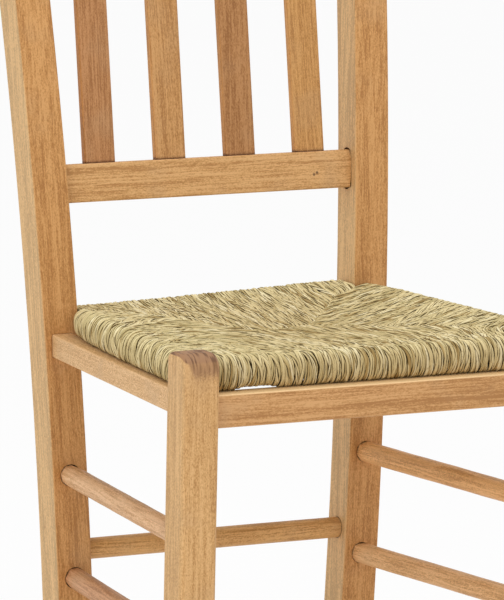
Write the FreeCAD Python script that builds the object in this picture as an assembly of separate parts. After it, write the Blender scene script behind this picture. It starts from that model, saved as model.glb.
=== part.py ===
import FreeCAD, Part

import math
import os

from FreeCAD import Rotation, Vector

# Dining chair with a straight-slat back and a drop-in rush seat, in millimetres.
# While it is drawn, X = 0 is the middle of the chair, Z = 0 the floor, and Y = 0 the front
# face of the rear posts at REFERENCE_HEIGHT; the front of the chair looks towards -Y.
# At the end everything moves along Y, so that the origin lies under the middle of the box.
# "left" is -X, the left-hand side for somebody who stands in front of the chair.

# Overall sizes
TOTAL_HEIGHT = 880.0
FRONT_WIDTH = 467.0
REAR_WIDTH = 410.0
SEAT_DEPTH = 380.4
REFERENCE_HEIGHT = 477.0

# Rear posts: square stock, sawn to a backward bow and splayed outwards
POST_WIDTH = 40.0
POST_DEPTH = 40.0
POST_EDGE = 1.8
POST_TOP_ROUND = 15.0
POST_SPLAY = 2.79
POST_BOW_RADIUS = 4000.0
POST_BOW_START = 69.0

# Front legs: square, upright, rounded over at the top
LEG_WIDTH = 40.0
LEG_HEIGHT = 467.0
LEG_EDGE = 5.0
LEG_TOP_ROUND_FRONT = 16.0
LEG_TOP_ROUND_REAR = 9.0

# Aprons under the seat; the side aprons are let in whole, the cross aprons have tenons
APRON_THICKNESS = 24.0
APRON_EDGE = 2.5
CROSS_APRON_BOTTOM = 391.0
CROSS_APRON_HEIGHT = 33.5
SIDE_APRON_BOTTOM = 402.0
SIDE_APRON_HEIGHT = 24.0
SIDE_APRON_SEAT = 12.0
APRON_TENON_THICKNESS = 10.0
APRON_TENON_SHOULDER = 4.0
APRON_TENON_LENGTH = 18.0

# Back: two rails between the posts, and the slats between the rails
LOWER_RAIL_CENTRE = 577.0
LOWER_RAIL_HEIGHT = 40.0
TOP_RAIL_CENTRE = 835.0
TOP_RAIL_HEIGHT = 50.0
RAIL_THICKNESS = 20.0
RAIL_EDGE = 2.0
RAIL_SHOULDER_STEP = 2.0
RAIL_TENON_LENGTH = 24.0
RAIL_SLOT_SPARE = 2.2
SLAT_COUNT = 4
SLAT_PITCH = 82.5
SLAT_WIDTH = 35.0
SLAT_THICKNESS = 11.0
SLAT_EDGE = 3.0
SLAT_SEAT = 12.0

# Turned stretchers, glued into blind holes
STRETCHER_DIAMETER = 22.5
STRETCHER_SEAT = 17.0
STRETCHER_WALL = 2.8
UPPER_SIDE_STRETCHER = 278.3
LOWER_SIDE_STRETCHER = 169.7
FRONT_STRETCHER = 132.0

# Seat frame inside the rush: four bars with glue blocks in the corners
BAR_WIDTH = 20.0
BAR_HEIGHT = 22.0
REAR_BAR_HEIGHT = 16.0
BAR_EDGE = 6.0
SIDE_BAR_LEG_LAP = 11.2
SIDE_BAR_POST_LAP = 8.5
BLOCK_LEG = 42.0
BLOCK_NOSE = 12.0
BLOCK_HEIGHT = 14.0

# Rush seat: the woven cover together with its stuffing
RUSH_WRAP = 6.5
RUSH_ROUND = 14.0
RUSH_REAR_CORNER = 18.0
RUSH_REAR_SLOPE = 70.0
RUSH_DISH_DEPTH = 14.0
RUSH_DISH_RADIUS = 170.0

# Clearances
GLUE_GAP = 0.1
SOFT_GAP = 0.3

# Sizes that follow from the ones above; STRETCHER_WALL is left between the rear stretcher's
# hole and the one below it, because the two cross inside the post
REAR_STRETCHER = LOWER_SIDE_STRETCHER + STRETCHER_DIAMETER + STRETCHER_WALL
LEG_X = (FRONT_WIDTH - LEG_WIDTH) / 2
LEG_INNER_X = FRONT_WIDTH / 2 - LEG_WIDTH
LEG_FRONT_Y = -SEAT_DEPTH
LEG_Y = LEG_FRONT_Y + LEG_WIDTH / 2
LEG_REAR_Y = LEG_FRONT_Y + LEG_WIDTH
CROSS_APRON_CENTRE = CROSS_APRON_BOTTOM + CROSS_APRON_HEIGHT / 2
SIDE_APRON_CENTRE = SIDE_APRON_BOTTOM + SIDE_APRON_HEIGHT / 2
RUSH_BOTTOM = SIDE_APRON_BOTTOM + SIDE_APRON_HEIGHT + SOFT_GAP
RUSH_THICKNESS = BAR_HEIGHT + 2 * RUSH_WRAP
RUSH_TOP = RUSH_BOTTOM + RUSH_THICKNESS
BAR_CENTRE = RUSH_BOTTOM + RUSH_THICKNESS / 2
REAR_BAR_CENTRE = RUSH_BOTTOM + RUSH_WRAP + REAR_BAR_HEIGHT / 2

X_AXIS = Vector(1, 0, 0)
Z_AXIS = Vector(0, 0, 1)


def bow_centre_y():
    """Y of the centre that the bow of the rear posts turns about."""
    return math.sqrt(POST_BOW_RADIUS ** 2 - (REFERENCE_HEIGHT - POST_BOW_START) ** 2)


def post_y(height, depth=0.0):
    """Y at some depth behind the front face of a rear post, at a height."""
    rise = max(height - POST_BOW_START, 0.0)
    return bow_centre_y() - math.sqrt((POST_BOW_RADIUS - depth) ** 2 - rise ** 2)


def post_up(height):
    """Direction in which a rear post climbs at a height, seen from the side."""
    lean = math.asin(max(height - POST_BOW_START, 0.0) / POST_BOW_RADIUS)
    return Vector(0, math.sin(lean), math.cos(lean))


def post_x(height):
    """X of the middle of the right-hand rear post at a height."""
    spread = (height - REFERENCE_HEIGHT) * math.tan(math.radians(POST_SPLAY))
    return (REAR_WIDTH - POST_WIDTH) / 2 + spread


def post_inner_x(height):
    """X of the inner face of the right-hand rear post at a height."""
    return post_x(height) - POST_WIDTH / 2 / math.cos(math.radians(POST_SPLAY))


def box_between(low, high):
    """Box from its lowest corner to its highest."""
    size = high - low
    return Part.makeBox(size.x, size.y, size.z, low)


def edges_along(shape, axis):
    """Straight edges of a shape that run along an axis."""
    found = []
    for edge in shape.Edges:
        if isinstance(edge.Curve, Part.Line) and abs(abs(edge.Curve.Direction.dot(axis)) - 1) < 1e-6:
            found.append(edge)
    return found


def beam(start, end, width, height, edge=0.0, up=Z_AXIS):
    """Bar of rectangular section from start to end, with its height along up."""
    along = end - start
    solid = Part.makeBox(along.Length, width, height, Vector(0, -width / 2, -height / 2))
    if edge > 0:
        solid = solid.makeFillet(edge, edges_along(solid, X_AXIS))
    solid.Placement = FreeCAD.Placement(start, Rotation(along, up.cross(along), up, "XZY"))
    return solid


def round_bar(start, end, diameter):
    """Turned bar from start to end."""
    return Part.makeCylinder(diameter / 2, (end - start).Length, start, end - start)


def across(half_length, y, height):
    """Ends of a piece that lies across the chair."""
    return Vector(-half_length, y, height), Vector(half_length, y, height)


def mirrored(shape):
    """The same shape on the left-hand side of the chair."""
    return shape.mirror(Vector(0, 0, 0), X_AXIS)


def quarter_round(start, corner, end):
    """Arc that rounds a square corner off, from start to end."""
    radius_point = start + end - corner
    middle = radius_point + (corner - radius_point) * math.sqrt(0.5)
    return Part.Arc(start, middle, end).toShape()


def rounded_top(front_side, rear_side, up, front_round, rear_round):
    """Edges over the top of a post or leg, between the ends of its front and rear faces."""
    front = front_side + up * front_round
    rear = rear_side + up * rear_round
    back = rear - front
    back.normalize()
    front_top = front + back * front_round
    rear_top = rear - back * rear_round
    return [
        quarter_round(front_side, front, front_top),
        Part.makeLine(front_top, rear_top),
        quarter_round(rear_top, rear, rear_side),
    ]


def outline_edges(solid):
    """Edges round both side faces of an extruded side outline, apart from the foot."""
    foot = solid.BoundBox.ZMin + 0.01
    return [e for e in solid.Edges if e.BoundBox.XLength < 0.01 and e.BoundBox.ZMax > foot]


def extruded_side(edges, width, edge_round):
    """Solid from a side outline drawn at X = 0, with its long edges rounded."""
    face = Part.Face(Part.Wire(edges))
    face.translate(Vector(-width / 2, 0, 0))
    solid = face.extrude(Vector(width, 0, 0))
    return solid.makeFillet(edge_round, outline_edges(solid))


def front_leg_blank():
    """Right-hand front leg before its joints are cut."""
    front_foot = Vector(0, LEG_FRONT_Y, 0)
    rear_foot = Vector(0, LEG_REAR_Y, 0)
    front_side = front_foot + Z_AXIS * (LEG_HEIGHT - LEG_TOP_ROUND_FRONT)
    rear_side = rear_foot + Z_AXIS * (LEG_HEIGHT - LEG_TOP_ROUND_REAR)
    outline = [
        Part.makeLine(front_foot, front_side),
        *rounded_top(front_side, rear_side, Z_AXIS, LEG_TOP_ROUND_FRONT, LEG_TOP_ROUND_REAR),
        Part.makeLine(rear_side, rear_foot),
        Part.makeLine(rear_foot, front_foot),
    ]
    leg = extruded_side(outline, LEG_WIDTH, LEG_EDGE)
    leg.translate(Vector(LEG_X, 0, 0))
    return leg


def bow_point(lean, depth):
    """Point at some depth in a rear post, where its bow has turned by an angle."""
    radius = POST_BOW_RADIUS - depth
    y = bow_centre_y() - radius * math.cos(lean)
    return Vector(0, y, POST_BOW_START + radius * math.sin(lean))


def bowed_face(foot, lean, depth):
    """Straight foot and bowed upper part of one face of a rear post, going up."""
    bend = bow_point(0, depth)
    arc = Part.Arc(bend, bow_point(lean / 2, depth), bow_point(lean, depth))
    return [Part.makeLine(foot, bend), arc.toShape()]


def rear_post_blank():
    """Right-hand rear post before its joints are cut."""
    # Once splayed, the highest point of the rounded top reaches TOTAL_HEIGHT
    splay = math.radians(POST_SPLAY)
    corner_rise = POST_EDGE + (POST_WIDTH / 2 - POST_EDGE) * math.sin(splay)
    corner_height = (TOTAL_HEIGHT - REFERENCE_HEIGHT - corner_rise) / math.cos(splay)
    length = REFERENCE_HEIGHT + corner_height + POST_EDGE
    ratio = POST_TOP_ROUND / POST_BOW_RADIUS
    shoulder = (length - POST_TOP_ROUND - ratio * POST_BOW_START) / (1 - ratio)
    lean = math.asin((shoulder - POST_BOW_START) / POST_BOW_RADIUS)
    below_floor = Z_AXIS * (POST_BOW_START + POST_WIDTH)
    front_foot = bow_point(0, 0) - below_floor
    rear_foot = bow_point(0, POST_DEPTH) - below_floor
    front_side = bow_point(lean, 0)
    rear_side = bow_point(lean, POST_DEPTH)
    outline = [
        *bowed_face(front_foot, lean, 0),
        *rounded_top(front_side, rear_side, post_up(shoulder), POST_TOP_ROUND, POST_TOP_ROUND),
        *bowed_face(rear_foot, lean, POST_DEPTH),
        Part.makeLine(rear_foot, front_foot),
    ]
    post = extruded_side(Part.sortEdges(outline)[0], POST_WIDTH, POST_EDGE)
    post.rotate(Vector(0, 0, REFERENCE_HEIGHT), Vector(0, 1, 0), POST_SPLAY)
    post.translate(Vector(post_x(REFERENCE_HEIGHT), 0, 0))
    under_floor = box_between(
        Vector(0, -SEAT_DEPTH, -TOTAL_HEIGHT),
        Vector(FRONT_WIDTH, SEAT_DEPTH, 0),
    )
    return post.cut(under_floor)


def rail_point(centre_height, climb=0.0):
    """Point in the middle of a back rail, moved along the rail's own height."""
    middle = Vector(0, post_y(centre_height, POST_DEPTH / 2), centre_height)
    return middle + post_up(centre_height) * climb


def rail_bar(centre_height, half_length, thickness, height, edge):
    """Bar along a back rail's middle line, leaning with the posts."""
    aside = Vector(half_length, 0, 0)
    middle = rail_point(centre_height)
    return beam(middle - aside, middle + aside, thickness, height, edge, post_up(centre_height))


def back_rail(centre_height, height):
    """Back rail: a square-edged body whose tenons have half-round edges."""
    inner = post_inner_x(centre_height)
    body = rail_bar(centre_height, inner - RAIL_SHOULDER_STEP, RAIL_THICKNESS, height, RAIL_EDGE)
    tenon_thickness = RAIL_THICKNESS - 2 * GLUE_GAP
    tenons = rail_bar(
        centre_height,
        inner + RAIL_TENON_LENGTH,
        tenon_thickness,
        height - 2 * GLUE_GAP,
        tenon_thickness / 2 - GLUE_GAP,
    )
    return body.fuse(tenons)


def rail_slots(centre_height, height):
    """Tool for the two round-ended slots that take a back rail, longer than its tenons."""
    reach = post_inner_x(centre_height) + RAIL_TENON_LENGTH + GLUE_GAP
    slot_height = height + 2 * RAIL_SLOT_SPARE
    return rail_bar(centre_height, reach, RAIL_THICKNESS, slot_height, RAIL_THICKNESS / 2 - GLUE_GAP)


def slat(x, gap=0.0):
    """Back slat from rail to rail; with a gap it is the tool for its two mortises."""
    low = rail_point(LOWER_RAIL_CENTRE, LOWER_RAIL_HEIGHT / 2)
    high = rail_point(TOP_RAIL_CENTRE, -TOP_RAIL_HEIGHT / 2)
    climb = high - low
    climb.normalize()
    aside = Vector(x, 0, 0)
    seat = climb * (SLAT_SEAT + gap)
    width = SLAT_WIDTH + 2 * gap
    thickness = SLAT_THICKNESS + 2 * gap
    facing = X_AXIS.cross(climb)
    return beam(low - seat + aside, high + seat + aside, width, thickness, SLAT_EDGE + gap, facing)


def side_line(height, seat):
    """Ends of a piece from the right-hand rear post to its front leg, let in by seat."""
    at_post = Vector(post_x(height), post_y(height), height)
    at_leg = Vector(LEG_X, LEG_REAR_Y, height)
    along = at_leg - at_post
    along.normalize()
    return at_post - along * seat, at_leg + along * seat


def side_apron(gap=0.0):
    """Side apron; with a gap it is the tool for its two mortises."""
    start, end = side_line(SIDE_APRON_CENTRE, SIDE_APRON_SEAT + gap)
    grown = 2 * gap
    return beam(start, end, APRON_THICKNESS + grown, SIDE_APRON_HEIGHT + grown, APRON_EDGE)


def side_stretcher(height, gap=0.0):
    """Side stretcher; with a gap it is the tool for its two holes."""
    start, end = side_line(height, STRETCHER_SEAT + gap)
    return round_bar(start, end, STRETCHER_DIAMETER + 2 * gap)


def cross_stretcher(half_span, y, height, gap=0.0):
    """Stretcher across the chair; with a gap it is the tool for its two holes."""
    start, end = across(half_span + STRETCHER_SEAT + gap, y, height)
    return round_bar(start, end, STRETCHER_DIAMETER + 2 * gap)


def cross_tenons(half_span, y, gap=0.0):
    """Bar through a cross apron that leaves its tenons; with a gap, the mortise tool."""
    start, end = across(half_span + APRON_TENON_LENGTH + gap, y, CROSS_APRON_CENTRE)
    height = CROSS_APRON_HEIGHT - 2 * APRON_TENON_SHOULDER
    return beam(start, end, APRON_TENON_THICKNESS + 2 * gap, height + 2 * gap)


def cross_apron(half_span, y):
    """Front or rear apron with a tenon at each end."""
    start, end = across(half_span - GLUE_GAP, y, CROSS_APRON_CENTRE)
    body = beam(start, end, APRON_THICKNESS, CROSS_APRON_HEIGHT, APRON_EDGE)
    return body.fuse(cross_tenons(half_span, y))


# Places in the seat that more than one piece uses
NOTCH_POST_X = post_inner_x(RUSH_BOTTOM) - SOFT_GAP
NOTCH_POST_Y = post_y(RUSH_BOTTOM) - SOFT_GAP
NOTCH_LEG_X = LEG_INNER_X - SOFT_GAP
NOTCH_LEG_Y = LEG_REAR_Y + SOFT_GAP
SIDE_BAR_FRONT_X = NOTCH_LEG_X + SIDE_BAR_LEG_LAP + SOFT_GAP
SIDE_BAR_REAR_X = NOTCH_POST_X + SIDE_BAR_POST_LAP + SOFT_GAP
SIDE_BAR_SLOPE = (SIDE_BAR_FRONT_X - SIDE_BAR_REAR_X) / (NOTCH_POST_Y - NOTCH_LEG_Y)
SIDE_BAR_REAR_Y = post_y(BAR_CENTRE - BAR_HEIGHT / 2) - SOFT_GAP
REAR_BAR_X = post_inner_x(REAR_BAR_CENTRE - REAR_BAR_HEIGHT / 2) - SOFT_GAP
REAR_BAR_Y = post_y(REAR_BAR_CENTRE, POST_DEPTH / 2)
RUSH_PROUD = BAR_WIDTH / 2 + RUSH_WRAP


def side_bar_x(y):
    """X of the middle line of the right-hand side bar."""
    return SIDE_BAR_REAR_X + (NOTCH_POST_Y - y) * SIDE_BAR_SLOPE


def side_bar(gap=0.0):
    """Right-hand side bar of the seat frame; with a gap, its room in the rush."""
    reach = BAR_WIDTH
    start = Vector(side_bar_x(NOTCH_LEG_Y - reach), NOTCH_LEG_Y - reach, BAR_CENTRE)
    end = Vector(side_bar_x(NOTCH_POST_Y + reach), NOTCH_POST_Y + reach, BAR_CENTRE)
    bar = beam(start, end, BAR_WIDTH + 2 * gap, BAR_HEIGHT + 2 * gap, BAR_EDGE)
    room = box_between(
        Vector(0, NOTCH_LEG_Y - 2 * gap, 0),
        Vector(FRONT_WIDTH, SIDE_BAR_REAR_Y + 2 * gap, TOTAL_HEIGHT),
    )
    return bar.common(room)


def front_bar(gap=0.0):
    """Front bar of the seat frame; with a gap, its room in the rush."""
    start, end = across(NOTCH_LEG_X + 2 * gap, LEG_Y, BAR_CENTRE)
    return beam(start, end, BAR_WIDTH + 2 * gap, BAR_HEIGHT + 2 * gap, BAR_EDGE)


def rear_bar(gap=0.0):
    """Rear bar of the seat frame, lower than the others; with a gap, its room in the rush."""
    start, end = across(REAR_BAR_X + 2 * gap, REAR_BAR_Y, REAR_BAR_CENTRE)
    return beam(start, end, BAR_WIDTH + 2 * gap, REAR_BAR_HEIGHT + 2 * gap, BAR_EDGE)


def corner_block(face_y, inward, centre, gap=0.0):
    """Glue block between a cross bar, whose inner face is at face_y, and the right side bar."""
    half = BAR_WIDTH / 2 * math.sqrt(1 + SIDE_BAR_SLOPE ** 2)

    def along_side(distance):
        y = face_y + inward * distance
        return Vector(side_bar_x(y) - half + gap, y, 0)

    def along_cross(distance):
        return Vector(along_side(0).x - distance, face_y - inward * gap, 0)

    nose = BLOCK_NOSE - gap
    leg = BLOCK_LEG + 3 * gap
    corners = [along_side(nose), along_side(leg), along_cross(leg), along_cross(nose)]
    height = BLOCK_HEIGHT + 2 * gap
    face = Part.Face(Part.makePolygon(corners + corners[:1]))
    face.translate(Vector(0, 0, centre - height / 2))
    return face.extrude(Vector(0, 0, height))


def rush_slab(start, end, width):
    """Slab with rounded edges along its length, as thick as the rush."""
    return beam(start, end, width, RUSH_THICKNESS, RUSH_ROUND)


def rush_outline():
    """Plan of the rush seat: notched round both legs and both posts."""
    rear_y = REAR_BAR_Y + RUSH_PROUD
    front_y = LEG_Y - RUSH_PROUD
    outer = RUSH_PROUD * math.sqrt(1 + SIDE_BAR_SLOPE ** 2)
    at_post = Vector(side_bar_x(NOTCH_POST_Y) + outer, NOTCH_POST_Y, 0)
    at_leg = Vector(side_bar_x(NOTCH_LEG_Y) + outer, NOTCH_LEG_Y, 0)
    half = [
        Vector(NOTCH_POST_X, rear_y, 0),
        Vector(NOTCH_POST_X, NOTCH_POST_Y, 0),
        at_post,
        at_leg,
        Vector(NOTCH_LEG_X, NOTCH_LEG_Y, 0),
        Vector(NOTCH_LEG_X, front_y, 0),
    ]
    other = [Vector(-p.x, p.y, 0) for p in reversed(half)]
    return half + other


def above_rear_slope(rear_y):
    """Wedge over the rear rim, which is as much lower as the rear bar."""
    drop = BAR_HEIGHT - REAR_BAR_HEIGHT
    slope = drop / RUSH_REAR_SLOPE
    corners = [
        Vector(-FRONT_WIDTH, rear_y - RUSH_REAR_SLOPE, RUSH_TOP),
        Vector(-FRONT_WIDTH, rear_y + RUSH_REAR_SLOPE, RUSH_TOP - 2 * slope * RUSH_REAR_SLOPE),
        Vector(-FRONT_WIDTH, rear_y + RUSH_REAR_SLOPE, RUSH_TOP + RUSH_THICKNESS),
        Vector(-FRONT_WIDTH, rear_y - RUSH_REAR_SLOPE, RUSH_TOP + RUSH_THICKNESS),
    ]
    face = Part.Face(Part.makePolygon(corners + corners[:1]))
    return face.extrude(Vector(2 * FRONT_WIDTH, 0, 0))


def rush_seat():
    """Rush seat with rounded rims and a dished top, hollowed for the seat frame."""
    points = rush_outline()
    plan = Part.Face(Part.makePolygon(points + points[:1]))
    plan.translate(Vector(0, 0, RUSH_BOTTOM))
    solid = plan.extrude(Vector(0, 0, RUSH_THICKNESS))
    at_post = points[2]
    corners = [e for e in edges_along(solid, Z_AXIS) if abs(abs(e.Vertexes[0].X) - at_post.x) < 0.01]
    solid = solid.makeFillet(RUSH_REAR_CORNER, corners)
    front_y = LEG_Y - RUSH_PROUD
    rear_y = REAR_BAR_Y + RUSH_PROUD
    start, end = across(FRONT_WIDTH, (front_y + rear_y) / 2, BAR_CENTRE)
    solid = solid.common(rush_slab(start, end, rear_y - front_y))
    right_slab = rush_slab(
        Vector(side_bar_x(-2 * SEAT_DEPTH) - FRONT_WIDTH + RUSH_PROUD, -2 * SEAT_DEPTH, BAR_CENTRE),
        Vector(side_bar_x(SEAT_DEPTH) - FRONT_WIDTH + RUSH_PROUD, SEAT_DEPTH, BAR_CENTRE),
        2 * FRONT_WIDTH,
    )
    solid = solid.common(right_slab).common(mirrored(right_slab))
    solid = solid.cut(above_rear_slope(rear_y))
    dish_ball = (RUSH_DISH_RADIUS ** 2 + RUSH_DISH_DEPTH ** 2) / (2 * RUSH_DISH_DEPTH)
    dish_centre = Vector(0, (LEG_Y + REAR_BAR_Y) / 2, RUSH_TOP - RUSH_DISH_DEPTH + dish_ball)
    return solid.cut(Part.makeSphere(dish_ball, dish_centre))


def cut_all(solid, tools):
    """Solid with every tool taken away, one after another."""
    for tool in tools:
        solid = solid.cut(tool)
    return solid


def build():
    """Every piece of the chair by its name."""
    pieces = {}

    # Tools for the joints on the right-hand side
    rear_span = post_inner_x(REAR_STRETCHER)
    rear_stretcher_y = post_y(REAR_STRETCHER, POST_DEPTH / 2)
    rear_apron_y = post_y(CROSS_APRON_CENTRE, POST_DEPTH / 2)
    rear_apron_span = post_inner_x(CROSS_APRON_BOTTOM)
    side_tools = [
        side_apron(GLUE_GAP),
        side_stretcher(UPPER_SIDE_STRETCHER, GLUE_GAP),
        side_stretcher(LOWER_SIDE_STRETCHER, GLUE_GAP),
    ]
    post_tools = side_tools + [
        rail_slots(LOWER_RAIL_CENTRE, LOWER_RAIL_HEIGHT),
        rail_slots(TOP_RAIL_CENTRE, TOP_RAIL_HEIGHT),
        cross_stretcher(rear_span, rear_stretcher_y, REAR_STRETCHER, GLUE_GAP),
        cross_tenons(rear_apron_span, rear_apron_y, GLUE_GAP),
    ]
    leg_tools = side_tools + [
        cross_stretcher(LEG_INNER_X, LEG_Y, FRONT_STRETCHER, GLUE_GAP),
        cross_tenons(LEG_INNER_X, LEG_Y, GLUE_GAP),
    ]

    # Posts, legs and what joins them
    pieces["rear_post_right"] = cut_all(rear_post_blank(), post_tools)
    pieces["front_leg_right"] = cut_all(front_leg_blank(), leg_tools)
    pieces["side_apron_right"] = side_apron()
    pieces["upper_side_stretcher_right"] = side_stretcher(UPPER_SIDE_STRETCHER)
    pieces["lower_side_stretcher_right"] = side_stretcher(LOWER_SIDE_STRETCHER)
    pieces["front_apron"] = cross_apron(LEG_INNER_X, LEG_Y)
    pieces["rear_apron"] = cross_apron(rear_apron_span, rear_apron_y)
    pieces["front_stretcher"] = cross_stretcher(LEG_INNER_X, LEG_Y, FRONT_STRETCHER)
    pieces["rear_stretcher"] = cross_stretcher(rear_span, rear_stretcher_y, REAR_STRETCHER)

    # Back
    middle = (SLAT_COUNT - 1) / 2
    slat_places = [(i - middle) * SLAT_PITCH for i in range(SLAT_COUNT)]
    slat_tools = [slat(x, GLUE_GAP) for x in slat_places]
    pieces["lower_back_rail"] = cut_all(back_rail(LOWER_RAIL_CENTRE, LOWER_RAIL_HEIGHT), slat_tools)
    pieces["top_back_rail"] = cut_all(back_rail(TOP_RAIL_CENTRE, TOP_RAIL_HEIGHT), slat_tools)
    for number, x in enumerate(slat_places, start=1):
        pieces[f"back_slat_{number}"] = slat(x)

    # Seat
    front_face = LEG_Y + BAR_WIDTH / 2
    rear_face = REAR_BAR_Y - BAR_WIDTH / 2
    pieces["seat_bar_front"] = front_bar()
    pieces["seat_bar_rear"] = rear_bar()
    pieces["seat_bar_right"] = side_bar()
    pieces["front_corner_block_right"] = corner_block(front_face, 1, BAR_CENTRE)
    pieces["rear_corner_block_right"] = corner_block(rear_face, -1, REAR_BAR_CENTRE)
    right_rooms = [
        side_bar(SOFT_GAP),
        corner_block(front_face, 1, BAR_CENTRE, SOFT_GAP),
        corner_block(rear_face, -1, REAR_BAR_CENTRE, SOFT_GAP),
    ]
    left_rooms = [mirrored(room) for room in right_rooms]
    cross_rooms = [front_bar(SOFT_GAP), rear_bar(SOFT_GAP)]
    pieces["rush_seat"] = cut_all(rush_seat(), right_rooms + left_rooms + cross_rooms)

    # The left-hand side mirrors the right
    for name in list(pieces):
        if name.endswith("_right"):
            pieces[name.removesuffix("right") + "left"] = mirrored(pieces[name])
    return pieces


def main():
    """Centre the chair over its origin and write one file for each piece."""
    pieces = build()
    box = Part.makeCompound(list(pieces.values())).optimalBoundingBox(False, False)
    to_origin = Vector(0, -(box.YMin + box.YMax) / 2, 0)
    os.makedirs("parts", exist_ok=True)
    for name, solid in sorted(pieces.items()):
        solid.translate(to_origin)
        if len(solid.Solids) != 1 or not solid.isValid():
            raise ValueError(f"{name} is not one valid solid")
        solid.Solids[0].exportStep(f"parts/{name}.step")
    print(f"{len(pieces)} pieces, box {box.XLength:.1f} x {box.YLength:.1f} x {box.ZLength:.1f}")
    print(f"moved along Y by {to_origin.y:.3f}")


main()
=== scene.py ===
# A slat-back chair with a rush seat: wood finishes, turned bars with cut ends, and the woven seat
import math

import bpy
import numpy as np
from mathutils import Matrix, Vector


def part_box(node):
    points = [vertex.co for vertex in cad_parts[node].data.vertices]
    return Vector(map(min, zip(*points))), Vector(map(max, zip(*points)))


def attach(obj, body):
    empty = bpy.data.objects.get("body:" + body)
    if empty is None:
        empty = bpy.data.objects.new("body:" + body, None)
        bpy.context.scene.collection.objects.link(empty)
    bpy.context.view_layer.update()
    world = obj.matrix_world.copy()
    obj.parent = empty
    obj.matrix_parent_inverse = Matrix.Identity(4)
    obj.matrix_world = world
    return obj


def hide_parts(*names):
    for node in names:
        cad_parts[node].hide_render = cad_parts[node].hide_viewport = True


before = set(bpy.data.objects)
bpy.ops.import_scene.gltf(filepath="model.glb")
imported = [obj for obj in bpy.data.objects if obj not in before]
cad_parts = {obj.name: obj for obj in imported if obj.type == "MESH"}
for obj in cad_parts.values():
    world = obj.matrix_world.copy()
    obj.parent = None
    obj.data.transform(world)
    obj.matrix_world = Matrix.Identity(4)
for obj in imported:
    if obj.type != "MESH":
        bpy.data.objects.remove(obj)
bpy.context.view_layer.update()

MM = 0.001

# Camera: a long lens from the front left, a little above the seat
CAMERA_PLACE = Vector((-2.97717, -5.515628, 1.512516))
CAMERA_AZIMUTH = math.radians(28.0936)
CAMERA_DIP = math.radians(9.4315)
CAMERA_ROLL = math.radians(1.1973)
CAMERA_LENS = 370.5
CAMERA_SENSOR = 36
CAMERA_REACH = 100

# Light: each lamp as its place, its size in metres and its power in watts
LAMPS = {
    "key": ((-3.4, -2.2, 1.2), 2.2, 26),
    "front": ((1.4, -4.2, 1.1), 2.0, 1),
    "top": ((0.1, -0.8, 3.4), 2.4, 25),
}
LAMP_AIM = Vector((0, 0, 0.45))
SKY_STRENGTH = 0.78
FLOOR_SIZE = 60
FLOOR_GLOW_SHARE = 0.86


# Small helpers for node trees

def linear(red, green, blue):
    """A colour written as sRGB from 0 to 255, as the linear RGBA that sockets take."""
    channels = [c / 255 for c in (red, green, blue)]
    return [c / 12.92 if c <= 0.04045 else ((c + 0.055) / 1.055) ** 2.4 for c in channels] + [1]


def add(tree, kind, sockets=None, **settings):
    """A shader node with its settings, and its sockets set to values or linked to other sockets."""
    node = tree.nodes.new("ShaderNode" + kind)
    for name, value in settings.items():
        setattr(node, name, value)
    for name, value in (sockets or {}).items():
        if isinstance(value, bpy.types.NodeSocket):
            tree.links.new(value, node.inputs[name])
        else:
            node.inputs[name].default_value = value
    return node


def math_node(tree, operation, *values):
    return add(tree, "Math", dict(enumerate(values)), operation=operation).outputs[0]


def dot(tree, vector, axis):
    return add(tree, "VectorMath", {0: vector, 1: tuple(axis)}, operation="DOT_PRODUCT").outputs["Value"]


def stretched(tree, vector, scales):
    return add(tree, "VectorMath", {0: vector, 1: scales}, operation="MULTIPLY").outputs[0]


def ramp(tree, value, low, high, start=0.0, end=1.0):
    """A number that goes smoothly from start to end while value goes from low to high."""
    node = add(
        tree, "MapRange",
        {"Value": value, "From Min": low, "From Max": high, "To Min": start, "To Max": end},
        interpolation_type="SMOOTHSTEP",
    )
    return node.outputs["Result"]


def mix(tree, factor, first, second, blend="MIX"):
    sockets = {"Fac": factor, "Color1": first, "Color2": second}
    return add(tree, "MixRGB", sockets, blend_type=blend).outputs[0]


def noise(tree, vector, scale=1.0, detail=2.0):
    return add(tree, "TexNoise", {"Vector": vector, "Scale": scale, "Detail": detail}).outputs["Fac"]


def own_point(tree):
    """The point in the piece's own space, which is the chair's space in metres."""
    return add(tree, "TexCoord").outputs["Object"]


def openness(tree, reach):
    """How open a point lies, from 0 deep in a corner to 1. reach is in millimetres."""
    return add(tree, "AmbientOcclusion", {"Distance": reach * MM}, samples=6).outputs["AO"]


def new_material(name):
    material = bpy.data.materials.new(name)
    material.use_nodes = True
    material.node_tree.nodes.clear()
    return material, material.node_tree


def finish_surface(tree, colour, roughness, shine, height, relief):
    """The one shader of a material, with a bump from height. relief is its depth in millimetres."""
    bump = add(tree, "Bump", {"Height": height, "Distance": relief * MM, "Strength": 0.6}).outputs[0]
    sockets = {"Base Color": colour, "Roughness": roughness, "Specular IOR Level": shine, "Normal": bump}
    shader = add(tree, "BsdfPrincipled", sockets)
    tree.links.new(shader.outputs[0], add(tree, "OutputMaterial").inputs["Surface"])


# Wood surface

# Dark brown for knots, and for dirt and painted shade where pieces meet
KNOT_DIRT_AND_SHADE = linear(74, 42, 18)
END_GRAIN = linear(164, 122, 86)
END_GRAIN_DARK = linear(116, 80, 52)
# Tones for the faces towards X, on posts and legs and on slats: painted sheen and shade, partly the other
# sawn face
PALE_SIDE_SHEEN = linear(216, 179, 127)
SLAT_SIDE_LIGHT = linear(196, 136, 70)
GREY_WOOD = linear(186, 152, 114)
# Painted light on the upward faces of the front and rear aprons
LIT_TOP_FACE = linear(250, 214, 160)
POST_TONE = (196, 142, 83)
LEG_TONE = (205, 158, 101)
RAIL_TONE = (205, 156, 99)
APRON_TONE = (197, 146, 91)
# The side aprons' tone is paler partly from painted sheen, as their outer sides catch the light
SIDE_APRON_TONE_AND_SHEEN = (213, 170, 117)
SLAT_TONES = ((177, 124, 76), (190, 139, 83), (170, 119, 70), (192, 140, 80))

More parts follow.
